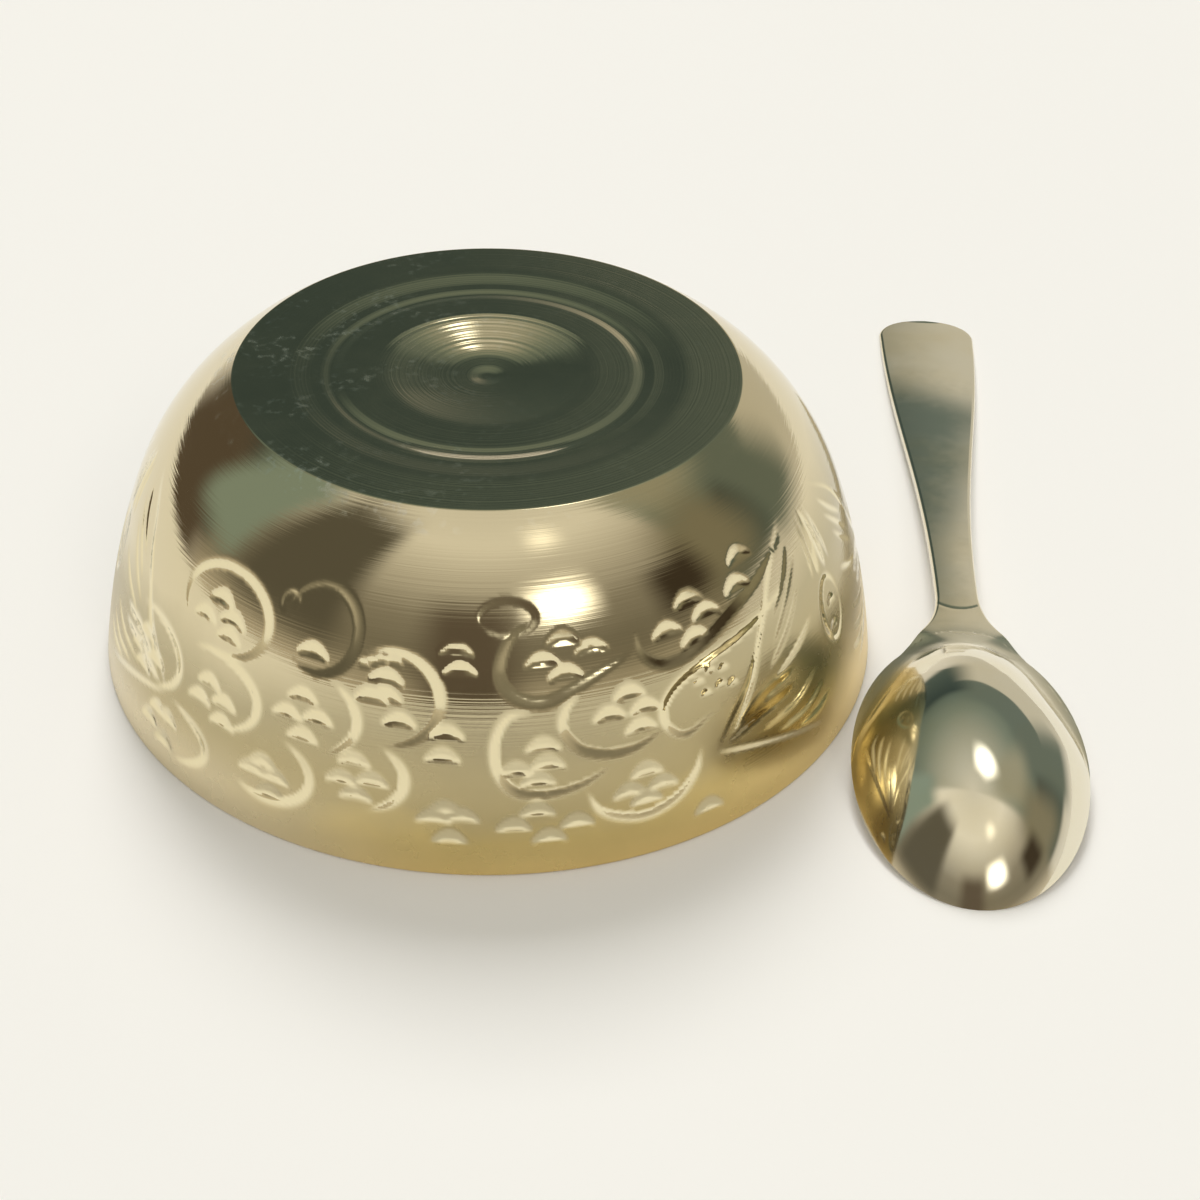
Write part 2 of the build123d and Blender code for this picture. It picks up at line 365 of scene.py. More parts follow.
def ringPath(ring):
    # part of an ellipse, from one angle to another
    phi, s, halfWide, halfHigh, fromAngle, toAngle = ring
    angle = np.radians(np.linspace(fromAngle, toAngle, 60))
    return np.stack([phi + halfWide * np.cos(angle), s + halfHigh * np.sin(angle)], -1)


def degreesApart(phi, around):
    # difference of two directions, from -180 to 180 degrees
    return (phi - around + 180) % 360 - 180


def strokeCut(e, phi, s, scale, path, width):
    # a cut along a path, swelling from both ends: one sloping facet, deepest at the inside of the bend;
    # gives the points that it reaches, its depth there, and its slope round the bowl and up the wall
    middle = path[:, 0].mean()
    reach = np.ptp(path[:, 0]) / 2 + 2 * width + 2
    flat = degreesApart(phi, middle)
    beside = (s > path[:, 1].min() - width) & (s < path[:, 1].max() + width)
    near = np.flatnonzero((np.abs(flat) < reach) & beside)
    if not len(near):
        return near, np.zeros(0), np.zeros((0, 2))
    across = (flat[near, None] - (path[:, 0] - middle)) * scale[near, None]
    along = s[near, None] - path[:, 1]
    closest = (across**2 + along**2).argmin(1)
    way = np.gradient(path, axis=0) * np.array([degreeWide, 1.0])
    way /= np.linalg.norm(way, axis=1)[:, None]
    outside = np.stack([-way[:, 1], way[:, 0]], -1)
    if np.sum(way[:-1, 0] * way[1:, 1] - way[:-1, 1] * way[1:, 0]) > 0:
        outside = -outside
    rows = np.arange(len(near))
    offset = np.stack([across[rows, closest], along[rows, closest]], -1)
    side = np.sum(outside[closest] * offset, 1)
    past = np.abs(np.sum(way[closest] * offset, 1))
    t = closest / (len(path) - 1)
    power, root = e["swell"]
    half = width / 2 * np.maximum(1 - np.abs(2 * t - 1) ** power, 0.02) ** root
    share = np.clip((half - side) / (2 * half), 0, 1) * (side > -half) * (past < e["pastEnd"])
    steep = e["strokeSlope"] * min(1, e["strokeWidth"] / width)  # broad cuts lie flatter
    even = 1 - e["hollow"]
    depth = e["shallow"] * steep * 2 * half * (even * share + e["hollow"] * share**2)
    return near, depth, -steep * (even + 2 * e["hollow"] * share)[:, None] * outside[closest]


def scaleCut(e, phi, s, scale, place, size):
    # a half-moon cut: a sloping facet under an arched edge, which ends in a steep step
    wide, high = e["scaleWidth"] * size, e["scaleHeight"] * size
    across = degreesApart(phi, place[0]) * scale
    near = np.flatnonzero((np.abs(across) < wide / 2) & (np.abs(s - place[1]) < 2 * high))
    across, up = across[near], s[near] - place[1]
    bow = 1 - (2 * across / wide) ** 2
    facet = e["scaleSlope"] * (high * bow - up)
    step = e["scaleEnd"] * (up + e["scaleSag"] * high * (1 - bow) + e["scaleFoot"])
    depth = np.clip(np.minimum(facet, step), 0, None)
    slopeAround = -8 * e["scaleSlope"] * high * across / wide**2
    slopeUp = np.where(facet < step, -e["scaleSlope"], e["stepShade"])
    return near, e["shallow"] * depth, np.stack([slopeAround, slopeUp], -1)


def engravedWall(e, phi, s, scale):
    # the deepest of all cuts at each place, and its slope
    width = e["strokeWidth"]
    paths = [(ringPath(ring), width) for ring in e["rings"]]
    paths += [(ringPath(curl), e["curlWidth"] * width) for curl in e["curls"]]
    tails = [smoothPath(tail) for tail in e["tails"]]
    paths += [(tail, width) for tail in tails]
    scales = [(place, 1.0) for place in e["scales"] + e["cloudScales"]]
    scales += [(place, e["tickSize"]) for place in e["ticks"] + e["punches"]]
    for k in e["cloudTails"]:
        paths.append((tails[k] + [e["cloudShift"], 0], width))
        paths.append((tails[k] * [-1, 1] + [e["cloudMirror"], 0], width))
    for phiAt, sAt in e["cloudScales"]:
        scales.append(((phiAt + e["cloudShift"], sAt), 1.0))
        scales.append(((e["cloudMirror"] - phiAt, sAt), 1.0))
    for centre in e["flowerAt"]:
        for lines, broad in ((e["leaf"], e["leafWidth"]), (e["facets"], e["facetWidth"])):
            for line in lines:
                for mirror in (1, -1):
                    paths.append((smoothPath(line) * [mirror, 1] + [centre, 0], broad * width))
        paths.append((ringPath(e["bud"]) + [centre, 0], e["budWidth"] * width))
        scales += [((centre + phiAt, sAt), e["budMarkSize"]) for phiAt, sAt in e["budMarks"]]
    depth, slope = np.zeros(phi.shape), np.zeros((len(phi), 2))
    cuts = [strokeCut(e, phi, s, scale, path, broad) for path, broad in paths]
    cuts += [scaleCut(e, phi, s, scale, place, size) for place, size in scales]
    for near, deep, steep in cuts:
        deeper = deep > depth[near]
        depth[near[deeper]] = deep[deeper]
        slope[near[deeper]] = steep[deeper]
    return depth, slope


def makeBowl(b, e):
    # the profile carried round the axis, pushed in along its normals by the depth of the cuts
    rows, counts, bandSlice, band = bowlProfile(b)
    along = np.gradient(rows, axis=0)
    sectionNormal = np.stack([-along[:, 1], along[:, 0]], -1)
    sectionNormal /= np.linalg.norm(sectionNormal, axis=1)[:, None]
    sectionNormal[[0, -1]] = [[0, 1], [0, -1]]
    pathLength = np.r_[0, np.cumsum(np.hypot(*np.diff(rows, axis=0).T))]
    ring = np.repeat(np.arange(len(rows)), counts)
    starts = np.cumsum(counts) - counts
    turn = 360 * (np.arange(counts.sum()) - starts[ring]) / counts[ring] + 180 / b["columns"]
    turn = np.radians(turn)
    radial = np.stack([np.sin(turn), -np.cos(turn), 0 * turn], -1)
    aroundAxis = np.stack([np.cos(turn), np.sin(turn), 0 * turn], -1)
    up = np.array([0, 0, 1.0])
    normal = radial * sectionNormal[ring, :1] + up * sectionNormal[ring, 1:]
    points = radial * rows[ring, :1] + up * rows[ring, 1:]

    inBand = (ring >= bandSlice.start) & (ring < bandSlice.stop)
    s = band[ring[inBand] - bandSlice.start]
    wallPoint, wallNormal = wallAt(s)
    scale = np.radians(wallPoint[:, 0])  # millimetres to a degree
    phi = np.degrees(turn[inBand])
    cellWide = 360 / (b["columns"] * b["finer"])
    cellHigh = band[0] - band[1]
    shifts = b["spread"] * ((np.arange(b["samples"]) + 0.5) / b["samples"] - 0.5)  # for smooth edges
    taken = [engravedWall(e, phi + p * cellWide, s + q * cellHigh, scale) for p in shifts for q in shifts]
    depth, slope = [np.mean(values, axis=0) for values in zip(*taken)]
    outward = radial[inBand] * wallNormal[:, :1] + up * wallNormal[:, 1:]
    upward = radial[inBand] * -wallNormal[:, 1:] + up * wallNormal[:, :1]
    points[inBand] -= outward * depth[:, None]
    cutNormal = outward + aroundAxis[inBand] * slope[:, :1] + upward * slope[:, 1:]
    normal[inBand] = cutNormal / np.linalg.norm(cutNormal, axis=1)[:, None]
    cut = np.zeros(len(points))
    cut[inBand] = np.clip(depth / e["cutFull"], 0, 1)
    attributes = dict(turned=pathLength[ring], cut=cut)
    piece = closedPiece("bowlBrass", points, ringFaces(counts), normal, attributes)
    print("engraving cut, deepest", round(float(depth.max()), 2), "mm")
    return piece


# Spoon: closed sections carried along the plane of its own rim

spoon = dict(
    length=127.0, bowlLength=41.5, bowlWidth=27.0, bowlDepth=8.5, wall=1.1,
    thick=1.6, drop=16.5, sag=5.5, endWidth=13.9, endBow=1.4, endCorner=5.0,
    neckWidth=5.3, neckRun=10.0, bendRun=4.5, bendDrop=1.6,
    shoulderRun=17.9, shoulderEase=14.5, neckEase=12.2, neckSweep=33.0, endSweep=28.0,
    gap=2.9, bearing=-30.7, heading=6.1,  # where it lies beside the bowl
    edge=0.5, crease=1.8, bend=1.6,  # rounding of edges, of the crease round the dome, and of the neck
    crown=0.03, inset=0.03,  # the handle's crown as a share of its half-width, and room to the outline
    handleBlend=(-2.5, 4.0),  # where the handle's form takes over, from the rear of the bowl
    borderFrom=20.0, borderTo=33.0, borderWide=0.16, borderLong=1.6,  # the dome is smaller at the rear
    lip=0.45, bevel=0.32,  # thickness of that border at the outline, and its rise from there
    borderSoft=0.25, hollowSoft=0.12,  # rounding of the border's crest and of the hollow's edge
    plate=[(20, 0.1), (25, 1.2), (32, 1.75), (39.5, 1.65), (47.2, -0.28)],  # crest of the border
    droopFrom=97.0, droop=0.95,  # the handle's end bends down
    lineAt=47.4, lineBow=0.18, lineWide=0.35, lineDeep=0.022,  # fine curved line across the neck
    across=72, endRows=56, fineStep=0.28, coarseStep=0.8, fineBeyond=9.0, endLong=6.5,  # the grid
)


def bezier(a, b, c, d, count=160):
    # cubic curve from a to d, with b and c pulling at its ends
    t = np.linspace(0, 1, count)[:, None]
    return (1 - t) ** 3 * a + 3 * (1 - t) ** 2 * t * b + 3 * (1 - t) * t**2 * c + t**3 * d


def softened(values, span):
    # running mean over a number of samples, twice, with the ends held
    kernel = np.ones(span) / span
    for _ in range(2):
        values = np.convolve(np.pad(values, span // 2, mode="edge"), kernel, mode="valid")[: len(values)]
    return values


def spoonForm(p):
    # tables along the spoon: half-width of its outline, and height of the plate's top and underside
    halfLong, halfWide = p["bowlLength"] / 2, p["bowlWidth"] / 2
    share = (halfLong - p["shoulderRun"]) / halfLong
    narrowing = np.sqrt(1 - share**2)
    start = np.array([p["bowlLength"] - p["shoulderRun"], (halfWide - p["wall"] / 2) * narrowing])
    slope = np.array([1, -halfWide * share / (halfLong * narrowing)])
    neck = np.array([p["bowlLength"] + p["neckRun"], p["neckWidth"] / 2])
    corner = np.array([p["length"] - p["endBow"], p["endWidth"] / 2])
    ease, sweep, last = [np.array([p[k], 0]) for k in ("neckEase", "neckSweep", "endSweep")]
    shoulder = bezier(start, start + slope / np.linalg.norm(slope) * p["shoulderEase"], neck - ease, neck)
    handle = bezier(neck, neck + sweep, corner - last, corner)
    sides = np.vstack([shoulder, handle[1:]])
    u = np.linspace(0, p["length"], int(20 * p["length"]) + 1)  # twenty places to a millimetre
    rim = halfWide * np.sqrt(np.clip(1 - (u / halfLong - 1) ** 2, 0, None))
    outline = np.maximum(rim, np.where(u > start[0], np.interp(u, sides[:, 0], sides[:, 1]), 0))
    bigR = (corner[1] ** 2 + p["endBow"] ** 2) / (2 * p["endBow"])
    cv = corner[1] - p["endCorner"]
    cu = p["length"] - bigR + np.sqrt((bigR - p["endCorner"]) ** 2 - cv**2)
    rounded = cv + np.sqrt(np.clip(p["endCorner"] ** 2 - np.clip(u - cu, 0, None) ** 2, 0, None))
    bowed = np.sqrt(np.clip(bigR**2 - (u - p["length"] + bigR) ** 2, 0, None))
    touch = p["length"] - bigR + bigR * np.sqrt(1 - (cv / (bigR - p["endCorner"])) ** 2)
    outline = np.where(u > cu, np.minimum(outline, np.where(u < touch, rounded, bowed)), outline)
    bendAt = np.array([p["bowlLength"] + p["bendRun"], p["thick"] - p["bendDrop"]])
    chord = np.array([p["length"], p["thick"] - p["drop"]]) - bendAt
    t = np.linspace(0, 1, 200)
    bulge = np.linalg.norm(chord) * np.tan(np.radians(p["sag"]) / 4) * 2 * t * (1 - t)
    line = bendAt + t[:, None] * chord - bulge[:, None] * np.array([0, 1])
    plate = np.array(p["plate"], float)
    handle = line[line[:, 0] > plate[-1, 0] + 0.5]
    top = np.interp(u, np.r_[0, plate[:, 0], handle[:, 0]], np.r_[-4, plate[:, 1], handle[:, 1]])
    top -= p["droop"] * np.clip((u - p["droopFrom"]) / (p["length"] - p["droopFrom"]), 0, 1) ** 2
    under = np.interp(u, np.r_[0, p["bowlLength"], line[:, 0]], np.r_[0, 0, line[:, 1] - p["thick"]])
    samples = int(p["bend"] / (u[1] - u[0])) | 1
    top, under = softened(top, samples), softened(under, samples)
    return dict(u=u, outline=outline, steep=np.gradient(outline, u), top=top, under=under)


def makeSpoon(p):
    # a grid of places along and across the spoon, once for its top and once for its underside
    form = spoonForm(p)
    halfLong, halfWide = p["bowlLength"] / 2, p["bowlWidth"] / 2
    arcRadius = (halfWide**2 + p["bowlDepth"] ** 2) / (2 * p["bowlDepth"])
    arcDrop = arcRadius - p["bowlDepth"]
    longRadius = halfLong * arcRadius / halfWide

    def hull(u, v, inset):  # height of the spoon's bowl above its rim: an arc across and an ellipse along
        high = (arcRadius - inset) ** 2 * (1 - ((u - halfLong) / (longRadius - inset)) ** 2) - v**2
        return np.where(high > 0, np.sqrt(np.clip(high, 0, None)) - arcDrop, -p["length"])

    def heights(u, v):  # top and underside, rounded towards the outline
        kinds = ("outline", "steep", "top", "under")
        width, steep, top, under = [np.interp(u, form["u"], form[k]) for k in kinds]
        thick = np.clip(top - under, 0, p["thick"])
        toEdge = np.clip(width - np.abs(v), 0, None) / np.sqrt(1 + steep**2)
        onHandle = smoothStep(*p["handleBlend"], u - p["bowlLength"])
        crown = p["crown"] * width * onHandle
        top = top - crown * np.clip(v / np.maximum(width, 0.1), -1, 1) ** 2
        top -= p["lineDeep"] * np.exp(-(((u - p["lineAt"] - p["lineBow"] * v**2) / p["lineWide"]) ** 2))
        border = under + p["lip"] + p["bevel"] * toEdge + p["thick"] * onHandle
        top = top + border - smoothMax(top, border, p["borderSoft"] * smoothStep(0, 0.5, top))
        smaller = smoothStep(p["borderFrom"], p["borderTo"], u)
        dome = hull(u + p["borderLong"] * smaller, v * (1 + p["borderWide"] * smaller), 0)
        upper = smoothMax(dome, top, p["crease"] * np.clip(top / p["thick"], 0, 1))
        lower = np.minimum(smoothMax(hull(u, v, p["wall"]), under, p["hollowSoft"]), upper)
        satin = smoothStep(-0.2, 0.5, top - dome) * (1 - onHandle) * smoothStep(0, 0.5, top)
        edge = np.minimum(p["edge"], 0.49 * thick) * onHandle + 1e-6
        inside = np.minimum(toEdge, edge)
        fall = edge - np.sqrt(edge**2 - (edge - inside) ** 2)
        return upper - fall, lower + fall, satin

    quarter = np.linspace(0, np.pi / 2, p["endRows"])
    fineTo = p["bowlLength"] + p["fineBeyond"]
    u = np.r_[
        halfLong * (1 - np.cos(quarter)),
        np.arange(halfLong + p["fineStep"], fineTo, p["fineStep"]),
        np.arange(fineTo + 0.5, p["length"] - p["endLong"] - 0.5, p["coarseStep"]),
        p["length"] - p["endLong"] * (1 - np.sin(quarter)),
    ]
    share = np.sin(np.linspace(-np.pi / 2, np.pi / 2, p["across"]))
    width = np.clip(np.interp(u, form["u"], form["outline"]) - p["inset"], 0, None)
    width[[0, -1]] = 0
    uu = np.repeat(u[:, None], 2 * len(share), 1)
    vv = width[:, None] * np.r_[share, share[::-1]]
    onTop = np.arange(2 * len(share)) < len(share)
    above, below, satin = heights(uu, vv)
    ww = np.where(onTop, above, below)
    nudge = 0.03  # slopes for the shading are read so far to both sides
    sample = vv * (1 - 2e-3)  # just inside the outline
    du = [a - b for a, b in zip(heights(uu + nudge, sample), heights(uu - nudge, sample))]
    dv = [a - b for a, b in zip(heights(uu, sample + nudge), heights(uu, sample - nudge))]
    slopeU, slopeV = [np.where(onTop, a, b) / (2 * nudge) for a, b, _ in (du, dv)]
    flip = np.where(onTop, 1.0, -1.0)
    local = np.stack([-slopeU * flip, -slopeV * flip, np.broadcast_to(flip, slopeU.shape)], -1)

    tilt = np.arctan2(p["drop"], p["length"])
    heading, bearing = np.radians([p["heading"], p["bearing"]])
    along = np.array([np.sin(heading), np.cos(heading), 0])
    left = np.cross([0, 0, 1], along)
    uphill = along * np.cos(tilt) + np.array([0, 0, np.sin(tilt)])
    axes = np.stack([uphill, left, np.cross(uphill, left)])
    away = bowl["rimDiameter"] / 2 + p["gap"] + halfWide
    middle = np.array([np.cos(bearing), np.sin(bearing), 0]) * away
    front = middle - along * halfLong * np.cos(tilt)
    points = front + np.stack([uu, vv, ww], -1) @ axes
    normal = local @ axes
    normal /= np.linalg.norm(normal, axis=-1)[..., None]
    n, m = uu.shape
    i, j = np.meshgrid(np.arange(n - 1), np.arange(m), indexing="ij")
    k = (j + 1) % m
    quads = np.stack([i * m + j, (i + 1) * m + j, (i + 1) * m + k, i * m + k], -1).reshape(-1, 4)
    attributes = dict(lengthwise=uu.ravel(), satin=np.where(onTop, satin, 0).ravel())
    return closedPiece("spoonBrass", points.reshape(-1, 3), quads, normal.reshape(-1, 3), attributes)


bowlPiece = makeBowl(bowl, engraving)
spoonPiece = makeSpoon(spoon)
for piece, node in ((bowlPiece, "bowl"), (spoonPiece, "spoon")):
    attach(piece, node)
    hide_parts(node)


# Brass: turned and polished on the bowl, paler and hand-polished on the spoon

bowlBrass = dict(
    paintedShadeTones=[  # millimetres above the rim, and colour; the dark band from 4 to 18 mm is painted shade, the golden at the rim a painted warm reflection
        (0, (0.80, 0.62, 0.27)), (4, (0.68, 0.53, 0.225)), (8, (0.50, 0.41, 0.215)),
        (18, (0.52, 0.45, 0.28)), (25, (0.73, 0.64, 0.43)),
    ],
    topTone=30.0, paintedWarmRight=-0.10, sway=0.012,  # the colours climb to the right, a painted warm reflection, and sway, in metres
    fresh=(0.84, 0.75, 0.50, 1),  # metal bared by a cut, which the painted shade of the height colours leaves out
    paintedPaleRim=(0.85, 0.76, 0.56, 1), paintedPaleShare=0.8,  # painted reflection: the rim's left side is paler
    paintedPaleFrom=-0.004, paintedPaleTo=-0.032, paintedPaleHigh=0.011,
    roughness=(0.028, 0.10), roughWhere=(0.45, 0.95), specksShare=0.4,
    clouds=55.0, specks=420.0,  # noise to a metre
    satin=0.22, satinBelow=0.014, brightAbove=0.021,  # satin towards the rim
    lines=3.2, lineHeight=0.000009,  # turning lines to a millimetre, and their height in metres
    ridges=2.1, ridgeHeight=0.00026,  # coarser ridges, in the far part of the dish
    ridgesFrom=4.0, ridgesTo=13.6, ridgesSoft=(1.5, 0.6), ridgesWhere=(0.25, 0.98),
    arcFrom=17.2, arcTo=20.4, arcSoft=(0.8, 0.8),  # fainter ones, in the groove's front
    arcWhere=(-0.80, -0.98), arcShare=0.45,
    baseAbove=0.035, baseSoft=0.0005, baseHaze=0.05,  # worn underside
    scuffed=(0.86, 0.83, 0.70, 1), scuffRoughness=0.25,
    scuffs=900.0, scuffWhere=(0.50, 0.72), patches=130.0, patchWhere=(0.42, 0.60),
    scuffRight=0.010, scuffLeft=-0.024, scuffShare=(0.10, 0.75),  # more of them towards the left
)


def newMaterial(name):
    # a material with an empty node tree
    material = bpy.data.materials.new(name)
    material.use_nodes = True
    material.node_tree.nodes.clear()
    return material, material.node_tree


def lineNoise(tree, value, detail=3.0):
    # noise along one direction only, for marks that run across it
    inputs = {"W": value, "Scale": 1.0, "Detail": detail}
    return addNode(tree, "ShaderNodeTexNoise", inputs, noise_dimensions="1D").outputs[0]


def spaceNoise(tree, place, scale, detail=5.0):
    # noise in all directions, with so many blots to a metre
    inputs = {"Vector": place, "Scale": scale, "Detail": detail}
    return addNode(tree, "ShaderNodeTexNoise", inputs).outputs[0]


def makeBowlBrass(look):
    # colour by height with painted shade and painted warm reflection, a painted pale left rim, satin rim,
    # scuffed base, fine turning lines and a few coarser ridges
    material, tree = newMaterial("bowlBrass")
    place = addNode(tree, "ShaderNodeTexCoord").outputs["Object"]
    turned = addNode(tree, "ShaderNodeAttribute", attribute_name="turned").outputs["Fac"]
    cut = addNode(tree, "ShaderNodeAttribute", attribute_name="cut").outputs["Fac"]
    sides = addNode(tree, "ShaderNodeSeparateXYZ", {0: place}).outputs
    clouds = spaceNoise(tree, place, look["clouds"])
    specks = spaceNoise(tree, place, look["specks"], 4.0)
    bare = mathNode(tree, "SUBTRACT", 1.0, cut)

    # colour by height, climbing to the right, with random sway: painted shade low on the wall and painted
    # warm reflection at the rim
    sway = mathNode(tree, "MULTIPLY", mathNode(tree, "SUBTRACT", clouds, 0.5), look["sway"])
    sway = mathNode(tree, "MULTIPLY_ADD", sides[0], look["paintedWarmRight"], sway)
    tone = mathNode(tree, "DIVIDE", mathNode(tree, "ADD", sides[2], sway), look["topTone"] * mm)
    colour = rampNode(tree, tone, [(height / look["topTone"], shade) for height, shade in look["paintedShadeTones"]])
    # painted reflection: the rim's left side turns paler, below a given height
    pale = rangeNode(tree, sides[0], look["paintedPaleFrom"], look["paintedPaleTo"], 0.0, look["paintedPaleShare"])
    pale = mathNode(tree, "MULTIPLY", pale, rangeNode(tree, sides[2], look["paintedPaleHigh"], 0.0))
    colour = mixColour(tree, pale, colour, look["paintedPaleRim"])
    colour = mixColour(tree, cut, colour, look["fresh"])

    uneven = mathNode(tree, "MULTIPLY_ADD", specks, look["specksShare"], clouds)
    roughness = rangeNode(tree, uneven, *look["roughWhere"], *look["roughness"])
    satin = rangeNode(tree, sides[2], look["brightAbove"], look["satinBelow"], 0.0, look["satin"])
    roughness = mathNode(tree, "MULTIPLY_ADD", satin, bare, roughness)

    onBase = rangeNode(tree, sides[2], look["baseAbove"] - look["baseSoft"], look["baseAbove"])
    marks = rangeNode(tree, spaceNoise(tree, place, look["scuffs"], 6.0), *look["scuffWhere"])
    patches = rangeNode(tree, spaceNoise(tree, place, look["patches"]), *look["patchWhere"])
    leftwards = rangeNode(tree, sides[0], look["scuffRight"], look["scuffLeft"], *look["scuffShare"])
    scuff = mathNode(tree, "MULTIPLY", mathNode(tree, "MULTIPLY", onBase, marks), patches)
    scuff = mathNode(tree, "MULTIPLY", scuff, leftwards)
    colour = mixColour(tree, scuff, colour, look["scuffed"])
    roughness = mathNode(tree, "MULTIPLY_ADD", onBase, look["baseHaze"], roughness)
    roughness = mathNode(tree, "MULTIPLY_ADD", scuff, look["scuffRoughness"], roughness)

    def ringShare(name):  # 1 between two places along the profile
        first, last = look[name + "From"], look[name + "To"]
        rise, fall = look[name + "Soft"]
        share = rangeNode(tree, turned, first, first + rise)
        return mathNode(tree, "MULTIPLY", share, rangeNode(tree, turned, last, last - fall))

    fine = lineNoise(tree, mathNode(tree, "MULTIPLY", turned, look["lines"]))
    lineInputs = {"Strength": bare, "Distance": look["lineHeight"], "Height": fine}
    lines = addNode(tree, "ShaderNodeBump", lineInputs).outputs[0]
    flat = addNode(tree, "ShaderNodeVectorMath", {0: place, 1: (1, 1, 0)}, operation="MULTIPLY").outputs[0]
    radius = addNode(tree, "ShaderNodeVectorMath", {0: flat}, operation="LENGTH").outputs["Value"]
    rearwards = mathNode(tree, "DIVIDE", sides[1], radius)  # -1 at the front and 1 at the rear
    fan = rangeNode(tree, rearwards, *look["ridgesWhere"])  # the ridges are worn off elsewhere
    fan = mathNode(tree, "MULTIPLY", fan, ringShare("ridges"))
    arc = rangeNode(tree, rearwards, *look["arcWhere"], 0.0, look["arcShare"])
    arc = mathNode(tree, "MULTIPLY", arc, ringShare("arc"))
    ridged = mathNode(tree, "MAXIMUM", fan, arc)
    saw = mathNode(tree, "FRACT", mathNode(tree, "MULTIPLY", turned, look["ridges"]))
    saw = mathNode(tree, "MULTIPLY", saw, lineNoise(tree, turned, 1.0))
    ridges = addNode(tree, "ShaderNodeBump", {
        "Strength": ridged, "Distance": look["ridgeHeight"], "Height": saw, "Normal": lines})

    shader = addNode(tree, "ShaderNodeBsdfPrincipled", {
        "Base Color": colour, "Metallic": 1.0, "Roughness": roughness, "Normal": ridges.outputs[0]})
    addNode(tree, "ShaderNodeOutputMaterial", {0: shader.outputs[0]})
    return material


spoonBrass = dict(
    pale=(0.84, 0.79, 0.64, 1), warm=(0.82, 0.73, 0.51, 1), warmWhere=(0.35, 0.75),
    roughness=(0.03, 0.11), roughWhere=(0.45, 0.95), specksShare=0.4, borderRoughness=0.3,
    clouds=60.0, specks=500.0,  # noise to a metre
    wave=26.0, waveHeight=0.00011,  # hammered unevenness: size in millimetres, height in metres
    waveFrom=44.0, waveTo=56.0, waveShare=(0.1, 1.0),  # more of it on the handle
)


def makeSpoonBrass(look):
    # pale and warm patches, a satin border and a slightly uneven handle
    material, tree = newMaterial("spoonBrass")
    place = addNode(tree, "ShaderNodeTexCoord").outputs["Object"]
    lengthwise = addNode(tree, "ShaderNodeAttribute", attribute_name="lengthwise").outputs["Fac"]
    satin = addNode(tree, "ShaderNodeAttribute", attribute_name="satin").outputs["Fac"]
    clouds = spaceNoise(tree, place, look["clouds"])
    specks = spaceNoise(tree, place, look["specks"], 4.0)
    colour = mixColour(tree, rangeNode(tree, clouds, *look["warmWhere"]), look["pale"], look["warm"])
    uneven = mathNode(tree, "MULTIPLY_ADD", specks, look["specksShare"], clouds)
    roughness = rangeNode(tree, uneven, *look["roughWhere"], *look["roughness"])
    roughness = mathNode(tree, "MULTIPLY_ADD", satin, look["borderRoughness"], roughness)
    wave = spaceNoise(tree, place, 1 / (look["wave"] * mm), 1.0)
    onHandle = rangeNode(tree, lengthwise, look["waveFrom"], look["waveTo"], *look["waveShare"])
    bumpInputs = {"Strength": onHandle, "Distance": look["waveHeight"], "Height": wave}
    bump = addNode(tree, "ShaderNodeBump", bumpInputs)
    shader = addNode(tree, "ShaderNodeBsdfPrincipled", {
        "Base Color": colour, "Metallic": 1.0, "Roughness": roughness, "Normal": bump.outputs[0]})
    addNode(tree, "ShaderNodeOutputMaterial", {0: shader.outputs[0]})
    return material


bowlPiece.data.materials.append(makeBowlBrass(bowlBrass))
spoonPiece.data.materials.append(makeSpoonBrass(spoonBrass))
print("brass finished")


# Studio: pale floor, soft surroundings that the metal mirrors, and lamps

